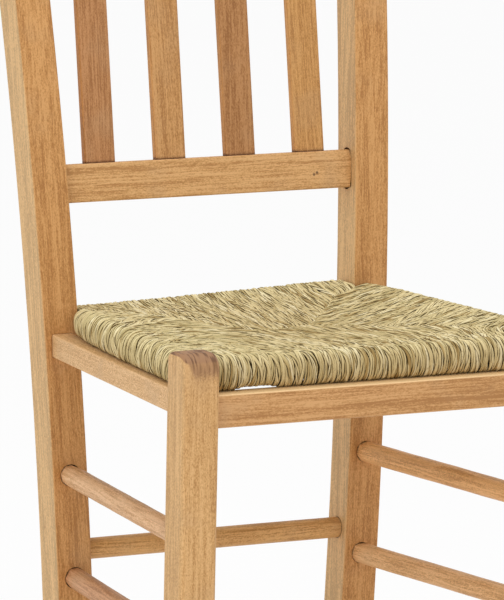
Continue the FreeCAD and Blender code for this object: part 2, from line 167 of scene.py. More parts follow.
# The darkest and lightest shades against a wood's own tone: how strong, and how they shift in hue
DARK_SHARE = 0.72
DARK_SHIFT = (1.04, 0.94, 0.82)
LIGHT_SHARE = 1.24
LIGHT_SHIFT = (0.96, 1.02, 1.16)

# Layers of grain: noise steps per metre across and along the grain, noise detail, weight, and the look
# that scales the weight
GRAIN_LAYERS = {
    "broad": (110, 2.4, 2, 1.6, "rings"),
    "lines": (480, 16, 3, 2.8, "figure"),
    "dashes": (760, 150, 2, 1.6, "figure"),
    "pores": (900, 480, 1, 1.9, "grit"),
}

# What can differ from one piece of wood to another, with the values of a plain piece. rings, figure and
# grit weigh the layers of grain. The looks for grey, flecks, pale edges, lit tops, side faces and joints are
# strengths. Pale edges are wear with a painted glint, lit tops are painted light on upward faces, and side
# faces turn to a side tone: painted sheen and shade, and partly their other sawn face. The joint look is
# dirt
# and painted shade: it reaches a number of millimetres from a joint and is full where openness falls to a
# level, both among the looks.
PLAIN_LOOKS = {
    "rings": 0.5,
    "figure": 1.0,
    "grit": 1.0,
    "grey": 0.35,
    "flecks": 0.5,
    "wear_and_glint": 0.45,
    "lit_top": 0.0,
    "side_light": 0.0,
    "side_light_tone": PALE_SIDE_SHEEN,
    "dirt_and_shade": 0.75,
    "dirt_and_shade_reach": 1.6,
    "dirt_and_shade_full": 0.35,
    "stain": False,
    "knots": (),
}
POST_LOOKS = {"side_light": 0.8, "grey": 0.2, "rings": 1.1, "figure": 0.85, "dirt_and_shade_reach": 2.2, "dirt_and_shade_full": 0.5}
LEG_LOOKS = {"side_light": 0.35, "grey": 0.25, "flecks": 0.8, "figure": 0.65, "grit": 0.95, "stain": True}
SIDE_APRON_LOOKS = {"grey": 0.5, "flecks": 0.1, "figure": 0.35, "grit": 1.6, "dirt_and_shade": 0.1, "wear_and_glint": 0.8}
# The aprons' tops get painted light, and their edges a painted glint besides wear
APRON_LOOKS = {"rings": 1.8, "grit": 0.8, "dirt_and_shade": 0.0, "wear_and_glint": 0.95, "lit_top": 0.8}
# The slats' feet get a strong dark line where they enter the rail: painted shade in the gap there
SLAT_LOOKS = {
    "side_light": 0.5,
    "side_light_tone": SLAT_SIDE_LIGHT,
    "grey": 0.2,
    "dirt_and_shade": 1.0,
    "dirt_and_shade_reach": 5.0,
    "dirt_and_shade_full": 0.68,
}
RAIL_RINGS = 0.9
BAR_FLECKS = 0.6
WOOD_ROUGHNESS = 0.52
WOOD_SHINE = 0.32
WOOD_RELIEF = 0.35

# Two small knots near the right end of the lower back rail, in millimetres
RAIL_KNOTS = ((124.8, 162.0, 574.0), (128.4, 162.0, 575.7))
KNOT_OUTER = 2.2
KNOT_INNER = 0.8
KNOT_STRENGTH = 0.8

# The dark colour of the end grain creeps down the front legs from their tops, away from their outer edges
LEG_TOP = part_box("front_leg_left")[1].z
LEG_OUTER = -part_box("front_leg_left")[0].x
STAIN_DEPTH = 20 * MM
STAIN_EDGE = 4 * MM
STAIN_RAGGED = 9 * MM
STAIN_SLANT = 0.38
STAIN_STRENGTH = 0.8


def grain_axes(axis):
    """The grain direction and two directions square to it, one as near to X as it can be."""
    along = Vector(axis).normalized()
    start = Vector((1, 0, 0)) if abs(along.x) < 0.7 else Vector((0, 0, 1))
    across = (start - along * start.dot(along)).normalized()
    return along, across, along.cross(across)


def grain_noise(tree, place, across, along, detail=2.0):
    """Noise drawn out along the grain: across and along are its steps per metre."""
    return noise(tree, stretched(tree, place, (across, across, along)), detail=detail)


def wood_place(tree, axes, seed):
    """The point in the piece's own grain space, bent a little so that no line is ruled straight."""
    point = own_point(tree)
    along, across, through = (dot(tree, point, axis) for axis in axes)
    shift = np.random.default_rng(seed).uniform(-5, 5, 3)
    parts = [math_node(tree, "ADD", value, float(s)) for value, s in zip((across, through, along), shift)]
    place = add(tree, "CombineXYZ", dict(enumerate(parts))).outputs[0]
    bend = grain_noise(tree, place, 9, 2.2)
    swing = math_node(tree, "MULTIPLY", math_node(tree, "SUBTRACT", bend, 0.5), 0.03)
    bent = math_node(tree, "ADD", parts[0], swing)
    return add(tree, "CombineXYZ", {0: bent, 1: parts[1], 2: parts[2]}).outputs[0]


def grain_value(tree, place, looks):
    """The grain as a number from 0, dark, to 1, light, and the noise of its fine lines."""
    value = 0.5
    layers = {}
    for name, (across, along, detail, weight, look) in GRAIN_LAYERS.items():
        layers[name] = grain_noise(tree, place, across, along, detail)
        centred = math_node(tree, "SUBTRACT", layers[name], 0.5)
        value = math_node(tree, "MULTIPLY_ADD", centred, weight * looks[look], value)
    return value, layers["lines"]


def wood_shades(tone):
    """The dark, middle and light colours of a wood, from its middle one."""
    middle = linear(*tone)
    dark = [c * DARK_SHARE * shift for c, shift in zip(middle, DARK_SHIFT)] + [1]
    light = [min(c * LIGHT_SHARE * shift, 1) for c, shift in zip(middle, LIGHT_SHIFT)] + [1]
    return dark, middle, light


def light_on_sides(tree, colour, value, normal, looks):
    """The faces towards X in another tone: painted sheen and shade on the sides, and partly their other sawn
    face.
    """
    side = math_node(tree, "ABSOLUTE", dot(tree, normal, (1, 0, 0)))
    lit_side = mix(tree, 1.0, looks["side_light_tone"], ramp(tree, value, 0.1, 0.9, 0.78, 1.12), "MULTIPLY")
    return mix(tree, ramp(tree, side, 0.55, 0.9, 0, looks["side_light"]), colour, lit_side)


def flecked(tree, colour, place, fleck, strength):
    """Short dark flecks, only here and there."""
    specks = ramp(tree, grain_noise(tree, place, 700, 260, 1), 0.62, 0.72, 0, strength)
    patches = ramp(tree, grain_noise(tree, place, 45, 12), 0.42, 0.62)
    return mix(tree, math_node(tree, "MULTIPLY", specks, patches), colour, fleck)


def worn_and_glinting_edges(tree, colour, place, squareness, edge_wear_and_glint_colour, wear_and_glint):
    """The rounded edges pale in places: rubbed wear and a painted glint. squareness says how near the
    surface faces each axis.
    """
    across = math_node(tree, "MAXIMUM", squareness[1], squareness[2])
    flat = math_node(tree, "MAXIMUM", across, squareness[0])
    patches = ramp(tree, grain_noise(tree, place, 60, 14), 0.4, 0.6, wear_and_glint - 0.65, wear_and_glint)
    wear_and_glint_mask = math_node(tree, "MULTIPLY", ramp(tree, flat, 0.97, 0.8), patches)
    return mix(tree, wear_and_glint_mask, colour, edge_wear_and_glint_colour)


def end_grain(tree, place):
    """The stripes of a sawn end."""
    stripes = noise(tree, stretched(tree, place, (330, 60, 30)))
    return mix(tree, ramp(tree, stripes, 0.38, 0.56), END_GRAIN_DARK, END_GRAIN)


def top_stain(tree):
    """How far the end grain's dark colour has crept down the leg's front, away from its outer edge."""
    point = own_point(tree)
    parts = add(tree, "SeparateXYZ", {0: point})
    ragged = math_node(tree, "MULTIPLY_ADD", noise(tree, point, 600, 3), 2 * STAIN_RAGGED, -STAIN_RAGGED)
    height = math_node(tree, "ADD", parts.outputs["Z"], ragged)
    down = math_node(tree, "SUBTRACT", LEG_TOP, parts.outputs["Z"])
    side = math_node(tree, "ABSOLUTE", parts.outputs["X"])
    side = math_node(tree, "MULTIPLY_ADD", down, STAIN_SLANT, side)
    lowest, full = LEG_TOP - STAIN_DEPTH - 2 * STAIN_EDGE, LEG_TOP - STAIN_DEPTH + STAIN_EDGE
    high = ramp(tree, height, lowest, full, 0, STAIN_STRENGTH)
    return math_node(tree, "MULTIPLY", high, ramp(tree, side, LEG_OUTER, LEG_OUTER - STAIN_EDGE))


def knotted(tree, colour, knot):
    """A small dark knot at a place in millimetres."""
    place = tuple(c * MM for c in knot)
    away = add(tree, "VectorMath", {0: own_point(tree), 1: place}, operation="DISTANCE").outputs["Value"]
    near = ramp(tree, away, KNOT_OUTER * MM, KNOT_INNER * MM, 0, KNOT_STRENGTH)
    return mix(tree, near, colour, KNOT_DIRT_AND_SHADE)


def wood(name, tone, axis, seed, **changes):
    """Honey-coloured wood with its grain along axis. changes are the looks that differ from PLAIN_LOOKS."""
    looks = {**PLAIN_LOOKS, **changes}
    material, tree = new_material(name)
    axes = grain_axes(axis)
    place = wood_place(tree, axes, seed)
    normal = add(tree, "NewGeometry").outputs["Normal"]
    squareness = [math_node(tree, "ABSOLUTE", dot(tree, normal, direction)) for direction in axes]
    dark, middle, light = wood_shades(tone)
    value, lines = grain_value(tree, place, looks)

    colour = mix(tree, ramp(tree, value, 0.0, 0.5), dark, middle)
    colour = mix(tree, ramp(tree, value, 0.5, 1.0), colour, light)
    colour = mix(tree, ramp(tree, noise(tree, place, 16, 3), 0.5, 0.72, 0, looks["grey"]), colour, GREY_WOOD)
    # Painted sheen and shade on the faces towards X
    if looks["side_light"]:
        colour = light_on_sides(tree, colour, value, normal, looks)
    colour = flecked(tree, colour, place, dark, looks["flecks"])
    # Pale edges: wear, with a painted glint along them
    colour = worn_and_glinting_edges(tree, colour, place, squareness, light, looks["wear_and_glint"])
    end = end_grain(tree, place)
    colour = mix(tree, ramp(tree, squareness[0], 0.42, 0.6), colour, end)
    # Painted light: the upward faces lighter, as light falls on them from above
    if looks["lit_top"]:
        upward = dot(tree, normal, (0, 0, 1))
        colour = mix(tree, ramp(tree, upward, 0.3, 0.8, 0, looks["lit_top"]), colour, LIT_TOP_FACE)
    if looks["stain"]:
        colour = mix(tree, top_stain(tree), colour, end)
    for knot in looks["knots"]:
        colour = knotted(tree, colour, knot)
    # Dirt and painted shade: darker in corners and where pieces meet, by ambient occlusion
    dirt_and_shade_mask = ramp(tree, openness(tree, looks["dirt_and_shade_reach"]), 0.78, looks["dirt_and_shade_full"], 0, looks["dirt_and_shade"])
    colour = mix(tree, dirt_and_shade_mask, colour, KNOT_DIRT_AND_SHADE)
    finish_surface(tree, colour, WOOD_ROUGHNESS, WOOD_SHINE, lines, WOOD_RELIEF)
    return material


# Wood on the CAD nodes

END_SLICE = 4 * MM


def main_axis(node):
    """The middles of a CAD node's two ends, along its longest side."""
    points = np.array([v.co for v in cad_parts[node].data.vertices])
    low, high = points.min(0), points.max(0)
    longest = int(np.argmax(high - low))
    near = points[points[:, longest] < low[longest] + END_SLICE].mean(0)
    far = points[points[:, longest] > high[longest] - END_SLICE].mean(0)
    return Vector(near), Vector(far)


def finish_node(node, tone, seed, **looks):
    near, far = main_axis(node)
    material = wood("wood_" + node, tone, far - near, seed, **looks)
    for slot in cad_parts[node].material_slots:
        slot.material = material


def finish_wood():
    for number, side in enumerate(("left", "right")):
        finish_node("rear_post_" + side, POST_TONE, 10 + number, **POST_LOOKS)
        finish_node("front_leg_" + side, LEG_TONE, 20 + number, **LEG_LOOKS)
        finish_node("side_apron_" + side, SIDE_APRON_TONE_AND_SHEEN, 30 + number, **SIDE_APRON_LOOKS)
        finish_node("seat_bar_" + side, RAIL_TONE, 40 + number)
        finish_node("front_corner_block_" + side, RAIL_TONE, 50 + number)
        finish_node("rear_corner_block_" + side, RAIL_TONE, 60 + number)
    finish_node("lower_back_rail", RAIL_TONE, 70, rings=RAIL_RINGS, knots=RAIL_KNOTS)
    finish_node("top_back_rail", RAIL_TONE, 71, rings=RAIL_RINGS)
    for number, end in enumerate(("front", "rear")):
        finish_node(end + "_apron", APRON_TONE, 80 + number, **APRON_LOOKS)
        finish_node("seat_bar_" + end, RAIL_TONE, 85 + number)
    for number, tone in enumerate(SLAT_TONES, 1):
        finish_node(f"back_slat_{number}", tone, 90 + number, **SLAT_LOOKS)


# Meshes

def new_piece(name, vertices, faces, material, node, values=None):
    """A piece in the place of a CAD node, from points in millimetres.

    values are named numbers, one for each point, that the material reads.
    """
    mesh = bpy.data.meshes.new(name)
    mesh.from_pydata((np.asarray(vertices) * MM).tolist(), [], faces)
    mesh.materials.append(material)
    mesh.polygons.foreach_set("use_smooth", [True] * len(mesh.polygons))
    for label, numbers in (values or {}).items():
        mesh.attributes.new(label, "FLOAT", "POINT").data.foreach_set("value", numbers.astype(np.float32))
    mesh.update()
    add_piece(mesh, node)


def add_piece(mesh, node):
    """A mesh as a piece that takes a CAD node's place."""
    piece = bpy.data.objects.new(mesh.name, mesh)
    bpy.context.scene.collection.objects.link(piece)
    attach(piece, "root")
    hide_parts(node)


def tube_faces(rings, sides, first):
    """Quads between rings of sides points, and a cap at each end."""
    ring, side = np.meshgrid(np.arange(rings - 1), np.arange(sides), indexing="ij")
    here = first + ring * sides + side
    beside = first + ring * sides + (side + 1) % sides
    faces = np.stack([here, beside, beside + sides, here + sides], -1).reshape(-1, 4).tolist()
    faces.append([first + s for s in reversed(range(sides))])
    faces.append([first + (rings - 1) * sides + s for s in range(sides)])
    return faces


# Turned bars: slightly uneven, with flats cut by knife where they go into the legs and posts.
# Lengths are in millimetres.

BARS = {
    "upper_side_stretcher_left": (212, 166, 118),
    "lower_side_stretcher_left": (192, 140, 96),
    "upper_side_stretcher_right": (224, 170, 110),
    "lower_side_stretcher_right": (223, 174, 119),
    "rear_stretcher": (208, 158, 97),
    "front_stretcher": (200, 152, 104),
}
BAR_SEED = 300
BAR_RADIUS = 11.25
BAR_SIDES = 40
BAR_STEP = 2.5
BAR_SINK = 0.12
SLOW_SWELL = 0.10
QUICK_SWELL = 0.07
CUT_LENGTH = 34.0
CUT_DEPTH = 1.5
CUT_RUNOUT = 16.0
CUT_FLATS = 7
CUT_FACING = 0.5


def bar_radius(s, a, length, radius, rng):
    """The distance from the axis at s millimetres along it and at the angle a."""
    phase = rng.uniform(0, 2 * np.pi, 6)
    r = np.full_like(s, radius - BAR_SINK)
    r += SLOW_SWELL * np.sin(s / 21 + phase[0]) * np.cos(a + phase[1])
    r += QUICK_SWELL * np.sin(s / 9 + phase[2]) * np.cos(2 * a + phase[3])
    for end in (0, length):
        from_end = np.abs(s - end)
        for flat in range(CUT_FLATS):
            middle = 2 * np.pi * (flat + rng.uniform(-0.25, 0.25)) / CUT_FLATS
            reach = CUT_LENGTH * rng.uniform(0.75, 1.1)
            depth = CUT_DEPTH * rng.uniform(0.5, 1.1)
            plane = radius - depth * np.clip((reach - from_end) / CUT_RUNOUT, 0, 1)
            facing = np.cos(a - middle)
            cut = np.where(facing > CUT_FACING, plane / np.maximum(facing, CUT_FACING), np.inf)
            r = np.where(from_end < reach, np.minimum(r, cut), r)
    return r


def turned_bar(node, tone, seed):
    """A bar in the place of a CAD stretcher."""
    near, far = (point / MM for point in main_axis(node))
    axis = (far - near).normalized()
    across = axis.cross(Vector((0, 0, 1))).normalized()
    up = across.cross(axis)
    length = (far - near).length
    low, high = (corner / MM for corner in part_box(node))
    radius = min(min(high - low) / 2, BAR_RADIUS)

    along = np.linspace(0, length, int(length / BAR_STEP))
    angle = np.arange(BAR_SIDES) * 2 * np.pi / BAR_SIDES
    s, a = np.meshgrid(along, angle, indexing="ij")
    r = bar_radius(s, a, length, radius, np.random.default_rng(seed))
    outward = np.cos(a)[..., None] * np.array(across) + np.sin(a)[..., None] * np.array(up)
    points = np.array(near) + s[..., None] * np.array(axis) + r[..., None] * outward
    material = wood("wood_" + node, tone, axis, seed, flecks=BAR_FLECKS)
    faces = tube_faces(len(along), BAR_SIDES, 0)
    new_piece(node + "_turned", points.reshape(-1, 3), faces, material, node)


# Rush surface

RUSH_ROUGHNESS = 0.7
RUSH_SHINE = 0.12
RUSH_RELIEF = 0.2
CREVICE_SHADE_REACH = 4
FRONT_AND_LOW_SHADE = linear(158, 122, 70)
RUSH_STREAK = linear(150, 126, 80)
LEAF_EDGE_SHADE = linear(120, 96, 50)
CREVICE_SHADE = linear(86, 66, 30)
RUSH_TONES = {
    0.00: (158, 134, 84),
    0.12: (190, 166, 112),
    0.30: (206, 190, 138),
    0.50: (224, 206, 154),
    0.75: (237, 220, 168),
    1.00: (247, 234, 190),
}


def tone_ramp(tree, value, tones):
    """The colours of tones, each at its value from 0 to 1."""
    node = add(tree, "ValToRGB", {"Fac": value})
    elements = node.color_ramp.elements
    while len(elements) < len(tones):
        elements.new(0.5)
    for element, (position, tone) in zip(elements, tones.items()):
        element.position = position
        element.color = linear(*tone)
    return node.outputs[0]


def rush_material():
    """Dry leaves: each has its own tone, with painted shade at its edges, in crevices, on the front rim and
    the lower it lies.
    """
    material, tree = new_material("rush_leaf")
    leaf = add(tree, "Attribute", attribute_name="leaf").outputs["Fac"]
    edge = add(tree, "Attribute", attribute_name="edge").outputs["Fac"]
    point = own_point(tree)
    parts = add(tree, "SeparateXYZ", {0: point})
    patches = math_node(tree, "SUBTRACT", noise(tree, point, 26, 2), 0.5)
    streaks = noise(tree, point, 300, 2)
    front, top = FRONT_RIM * MM, SEAT_HIGH.z * MM

    colour = tone_ramp(tree, math_node(tree, "MULTIPLY_ADD", patches, 0.5, leaf), RUSH_TONES)
    colour = mix(tree, ramp(tree, streaks, 0.56, 0.75, 0, 0.4), colour, RUSH_STREAK)
    # Painted shade: darker on the front rim's face, and the lower a point lies
    front_shade = ramp(tree, parts.outputs["Y"], front + 16 * MM, front + 2 * MM, 0, 0.28)
    colour = mix(tree, front_shade, colour, FRONT_AND_LOW_SHADE)
    low = ramp(tree, parts.outputs["Z"], top - 5 * MM, top - 18 * MM, 0, 0.22)
    colour = mix(tree, low, colour, FRONT_AND_LOW_SHADE)
    # Painted shade at each leaf's side edges
    colour = mix(tree, ramp(tree, edge, 0.3, 0.95, 0, 0.68), colour, LEAF_EDGE_SHADE)
    # Painted shade in crevices between leaves, by ambient occlusion
    colour = mix(tree, ramp(tree, openness(tree, CREVICE_SHADE_REACH), 0.7, 0.15, 0, 0.6), colour, CREVICE_SHADE)
    finish_surface(tree, colour, RUSH_ROUGHNESS, RUSH_SHINE, streaks, RUSH_RELIEF)
    return material


def core_shade_material():
    """The stuffing: dark fibres, seen only between the strands, where their dark colour is painted shade."""
    material, tree = new_material("rush_stuffing_shade")
    fibres = noise(tree, own_point(tree), 500, 3)
    colour = mix(tree, ramp(tree, fibres, 0.3, 0.7), linear(92, 72, 38), linear(140, 116, 70))
    finish_surface(tree, colour, 0.9, 0.1, fibres, 0.5)
    return material


# Rush outline in millimetres, in the chair's space. Left is -X, front is -Y. The edges are pairs of y and x,
# the seams are pairs of x and y.

SEAT_LOW, SEAT_HIGH = (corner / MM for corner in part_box("rush_seat"))
LEG_INNER = -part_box("front_leg_left")[1].x / MM
LEG_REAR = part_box("front_leg_left")[1].y / MM
POST_INNER = 163.4
POST_FRONT = 137.0
SEAT_GAP = 0.5
FRONT_RIM = SEAT_LOW.y + 12.0
LEFT_EDGE = (
    (-199.5, -219.0), (-141.0, -213.0), (-16.0, -201.0), (79.0, -189.0), (121.0, -178.0), (136.5, -168.5),
)
RIGHT_EDGE = ((-199.5, 221.0), (-83.0, 216.0), (20.0, 204.5), (109.0, 194.0), (136.5, 186.0))
FRONT_SEAM = ((-200, -203), (-36, -25.4), (31, -10.4), (129, -86), (150, -115), (200, -199))
REAR_SEAM = ((-165, 140.6), (-113, 72.6), (-36, -25.4), (31, -10.4), (132, 113.6), (165, 140.6))
DISH_DEPTH = 14.5
REAR_RIM_MIDDLE = 456.0
REAR_RIM_RISE = 0.034
REAR_RIM_LOWEST = 450.0
REAR_RIM_HIGHEST = 460.0
REAR_FALL_START = 45
REAR_FALL_END = 165

# Heights under the rush. The front rim is lifted beside the left leg, where light shows over its apron.
UNDER_HEIGHT = 428.4
FRONT_LIFT_MIDDLE = -144
FRONT_LIFT_HALF = 24
FRONT_LIFT = 3.0

# Rush strands, in millimetres. A leaf's middle swings LEAF_SPREAD to the side and LEAF_STACK outwards, and
# the leaf tilts by up to LEAF_ROLL radians.
RUSH_SEED = 200
STRAND_PITCH = 5.2
STRAND_DEPTH = 1.6
STRAND_TURN = 70.0
LEAVES_PER_STRAND = 4
LEAF_WIDTH = 2.5
LEAF_THICKNESS = 1.3
LEAF_SIDES = 6
LEAF_SPREAD = 1.75
LEAF_STACK = 0.85
LEAF_ROLL = 0.6
LONGEST_RUN = 260
TOP_STEP = 4.0
UNDER_STEP = 14.0
RIM_STEPS = 8
UNDER_RIM_STEPS = 5
SEAM_RUN = 9.0
SEAM_DIP = 5.0
FAN_REACH = 26.0


def edge_x(edge, y):
    ys, xs = zip(*edge)
    return np.interp(y, ys, xs)


def seam_y(seam, x):
    xs, ys = zip(*seam)
    return np.interp(x, xs, ys)


def smooth(value, low, high):
    t = np.clip((value - low) / (high - low), 0, 1)
    return t * t * (3 - 2 * t)


def top_height(x, y):
    """The seat's upper surface without its rounded rims: level rims, a lower rear rim and a shallow dish."""
    left, right = edge_x(LEFT_EDGE, y), edge_x(RIGHT_EDGE, y)
    u = np.clip((x - left) / (right - left), 0, 1)
    v = np.clip((y - SEAT_LOW.y) / (SEAT_HIGH.y - SEAT_LOW.y), 0, 1)
    rear = np.clip(REAR_RIM_MIDDLE + REAR_RIM_RISE * x, REAR_RIM_LOWEST, REAR_RIM_HIGHEST)
    rim = SEAT_HIGH.z + (rear - SEAT_HIGH.z) * smooth(y, REAR_FALL_START, REAR_FALL_END)
    return rim - DISH_DEPTH * 16 * u * (1 - u) * v * (1 - v)


class Section:
    """One side of the seat, whose strands lie between its rail and its seams.

    start and end are its first and last strand along the rail. crest and under are how far in from the
    outermost line the rim is highest and lowest, middle is the height of that line and bottom the height of
    the lowest one. lean is how far a strand moves along the rail for each millimetre down the rim. share is
    how many strands there are, against strands that lie square to the rail on top.
    """

    def __init__(self, name, start, end, crest, under, lean, bottom, middle, share=1.0):
        self.name = name
        self.start, self.end, self.share = start, end, share
        self.crest, self.under = crest, under
        self.lean, self.bottom, self.middle = lean, bottom, middle

    def place(self, rail, inward, anchor):
        """Plan position from the place along the rail and the distance in from the outermost line."""
        if self.name == "front":
            return rail, FRONT_RIM + inward
        if self.name == "rear":
            return rail, SEAT_HIGH.y - SEAT_GAP - inward
        if self.name == "left":
            return edge_x(LEFT_EDGE, anchor) + inward, rail
        return edge_x(RIGHT_EDGE, anchor) - inward, rail

    def past_seam(self, x, y):
        """How far a point lies past the section's seams, in millimetres; negative inside the section."""
        front, rear = y - seam_y(FRONT_SEAM, x), seam_y(REAR_SEAM, x) - y
        if self.name == "front":
            return front
        if self.name == "rear":
            return rear
        return np.maximum(-front, -rear)

    def slope(self, inward, anchor):
        """How far the strand moves along its rail for each millimetre that it goes in.

        The strands beside a front leg fan out behind it.
        """
        if self.name == "front":
            near_left = np.exp(-(anchor + LEG_INNER) / FAN_REACH)
            near_right = np.exp((anchor - LEG_INNER) / FAN_REACH)
            fan = smooth(inward, 8, 34)
            flatter = 0.45 * smooth(inward, 55, 125)
            return 0.12 - flatter - 1.1 * near_left * fan + 0.9 * near_right * fan
        if self.name == "rear":
            return 0 * inward
        if self.name == "left":
            near_leg = 1 - 0.22 * np.exp(-(anchor - LEG_REAR) / 40) * smooth(inward, 10, 40)
            return near_leg * np.clip(1 - (inward - 20) / 95, 0, 1) ** 0.7
        return -0.68 + 0.25 * smooth(inward, 100, 180)

    def lowest(self, anchor):
        """The height of a strand's lowest line."""
        if self.name != "front":
            return self.bottom
        away = abs(anchor - FRONT_LIFT_MIDDLE)
        return self.bottom + FRONT_LIFT * (1 - smooth(away, FRONT_LIFT_HALF - 8, FRONT_LIFT_HALF + 2))


SECTIONS = (
    Section(
        "front", -LEG_INNER + 2.6, LEG_INNER - 2.6,
        crest=18, under=15, lean=0.10, bottom=424.8, middle=444,
    ),
    Section(
        "rear", -POST_INNER + 3.4, POST_INNER - 3.4,
        crest=12, under=8, lean=0.05, bottom=428.4, middle=439.5,
    ),
    Section(
        "left", LEG_REAR + 3.0, POST_FRONT - 3.4,
        crest=15, under=6, lean=-0.20, bottom=427.9, middle=440.5, share=0.80,
    ),
    Section(
        "right", LEG_REAR + 3.0, POST_FRONT - 3.4,
        crest=11, under=6, lean=0.10, bottom=427.9, middle=439.5, share=0.96,
    ),
)
RAIL_AXES = {"front": (1, 0, 0), "rear": (-1, 0, 0), "left": (0, -1, 0), "right": (0, 1, 0)}


def first_past(past):
    """The first point that lies past a seam, or the last point of all."""
    return int(np.argmax(past > 0)) if (past > 0).any() else len(past) - 1


def top_run(section, anchor):
    """A strand's points from its seam on top to the rim's crest."""
    inward = np.arange(section.crest, LONGEST_RUN, TOP_STEP)
    rail = anchor + np.concatenate([[0], np.cumsum(section.slope(inward, anchor)[:-1] * TOP_STEP)])
    x, y = section.place(rail, inward, anchor)
    past = section.past_seam(x, y)
    last = min(first_past(past) + int(SEAM_RUN / TOP_STEP), len(past) - 1)
    x, y = x[:last + 1], y[:last + 1]
    left_to_go = (last - np.arange(last + 1)) * TOP_STEP
    z = top_height(x, y) - STRAND_DEPTH
    z -= SEAM_DIP * smooth(SEAM_RUN + 4 - left_to_go, 0, SEAM_RUN + 4)
    return np.stack([x, y, z], 1)[::-1]


def rim_run(section, anchor):
    """A strand's points over the rim and down to its lowest line, and where on the rail it ends."""
    crest_z = float(top_height(*section.place(anchor, section.crest, anchor))) - STRAND_DEPTH
    over = np.linspace(0, np.pi / 2, RIM_STEPS + 1)[1:]
    below = np.linspace(0, np.pi / 2, UNDER_RIM_STEPS + 1)[1:]
    inward_over = section.crest * (1 - np.sin(over)) + STRAND_DEPTH * np.sin(over)
    inward_below = STRAND_DEPTH + (section.under - STRAND_DEPTH) * (1 - np.cos(below))
    z_over = section.middle + (crest_z - section.middle) * np.cos(over)
    z_below = section.middle + (section.lowest(anchor) - section.middle) * np.sin(below)
    z = np.concatenate([z_over, z_below])
    rail = anchor + section.lean * (crest_z - z)
    x, y = section.place(rail, np.concatenate([inward_over, inward_below]), anchor)
    return np.stack([x, y, z], 1), rail[-1]


def under_run(section, anchor, rail):
    """A strand's points under the seat, from its rim to its seam there."""
    inward = np.arange(section.under + UNDER_STEP, LONGEST_RUN, UNDER_STEP)
    x, y = section.place(np.full(len(inward), rail), inward, anchor)
    count = first_past(section.past_seam(x, y)) + 1
    height = max(section.lowest(anchor), UNDER_HEIGHT)
    points = np.stack([x[:count], y[:count], np.full(count, height)], 1)
    points[-1, 2] += SEAM_DIP * 0.6
    return points


def strand_path(section, anchor):
    """Points of one strand from its seam on top, over the rim and down, to its seam below."""
    rim, rail = rim_run(section, anchor)
    return np.concatenate([top_run(section, anchor), rim, under_run(section, anchor, rail)])


def waves(distance, rng, amount, longest):
    """A smooth random wander along a strand: three waves, each shorter and weaker than the one before."""
    total = 0
    for k in range(3):
        angle = distance * 2 * np.pi / (longest / (1 + 0.8 * k)) + rng.uniform(0, 2 * np.pi)
        total = total + np.sin(angle) / (1 + k)
    return amount * total


def frame_along(points, rail_axis):
    """The outward and the sideways directions along a path on the seat's skin."""
    tangent = np.gradient(points, axis=0)
    tangent /= np.linalg.norm(tangent, axis=1)[:, None]
    normal = np.cross(tangent, rail_axis)
    normal /= np.linalg.norm(normal, axis=1)[:, None]
    return normal, np.cross(normal, tangent)


class Skein:
    """Gathers closed tubes until they become one mesh."""

    def __init__(self):
        self.points, self.faces, self.leaf, self.edge, self.count = [], [], [], [], 0

    def tube(self, rings, leaf):
        amount, sides = rings.shape[:2]
        self.faces += tube_faces(amount, sides, self.count)
        self.points.append(rings.reshape(-1, 3))
        self.leaf.append(np.full(amount * sides, leaf))
        # edge is 1 at a leaf's side edges and falls across its faces; the material paints shade by it
        self.edge.append(np.tile(np.cos(np.arange(sides) * 2 * np.pi / sides) ** 2, amount))
        self.count += amount * sides

    def piece(self, name, material):
        values = {"leaf": np.concatenate(self.leaf), "edge": np.concatenate(self.edge)}
        new_piece(name, np.concatenate(self.points), self.faces, material, "rush_seat", values)


def lay_leaf(skein, points, normal, sideways, offset, width, thickness, roll, leaf):
    """One flat leaf along a path: an oval tube whose size and roll change on the way."""
    angle = np.arange(LEAF_SIDES) * 2 * np.pi / LEAF_SIDES
    flat = width[:, None] / 2 * np.cos(angle)
    deep = thickness[:, None] / 2 * np.sin(angle)
    side = flat * np.cos(roll)[:, None] - deep * np.sin(roll)[:, None] + offset[0][:, None]
    out = flat * np.sin(roll)[:, None] + deep * np.cos(roll)[:, None] + offset[1][:, None]
    rings = points[:, None] + side[..., None] * sideways[:, None] + out[..., None] * normal[:, None]
    skein.tube(rings, leaf)


def lay_strand(skein, section, anchor, rng):
    """One strand: leaves that twist round each other along a path that wanders a little."""
    points = strand_path(section, anchor)
    normal, sideways = frame_along(points, RAIL_AXES[section.name])
    distance = np.concatenate([[0], np.cumsum(np.linalg.norm(np.diff(points, axis=0), axis=1))])
    points = points + sideways * waves(distance, rng, 0.45, 90)[:, None]
    points = points + normal * waves(distance, rng, 0.30, 60)[:, None]
    shade = rng.normal(0.54, 0.06)
    turn = rng.uniform(0, 2 * np.pi)
    twist = rng.choice((-1, 1), p=(0.15, 0.85)) * rng.uniform(0.8, 1.3) * 2 * np.pi / STRAND_TURN
    for number in range(LEAVES_PER_STRAND):
        phase = turn + twist * distance + 2 * np.pi * number / LEAVES_PER_STRAND
        phase = phase + waves(distance, rng, 0.4, 80)
        width = LEAF_WIDTH * (1 + waves(distance, rng, 0.13, 50)) * rng.uniform(0.6, 1.45)
        thickness = LEAF_THICKNESS * (1 + waves(distance, rng, 0.10, 40))
        offset = (LEAF_SPREAD * np.cos(phase), LEAF_STACK * np.sin(phase))
        roll = -LEAF_ROLL * np.cos(phase) + waves(distance, rng, 0.15, 60)
        leaf = float(np.clip(shade + rng.normal(0, 0.25), 0, 1))
        lay_leaf(skein, points, normal, sideways, offset, width, thickness, roll, leaf)


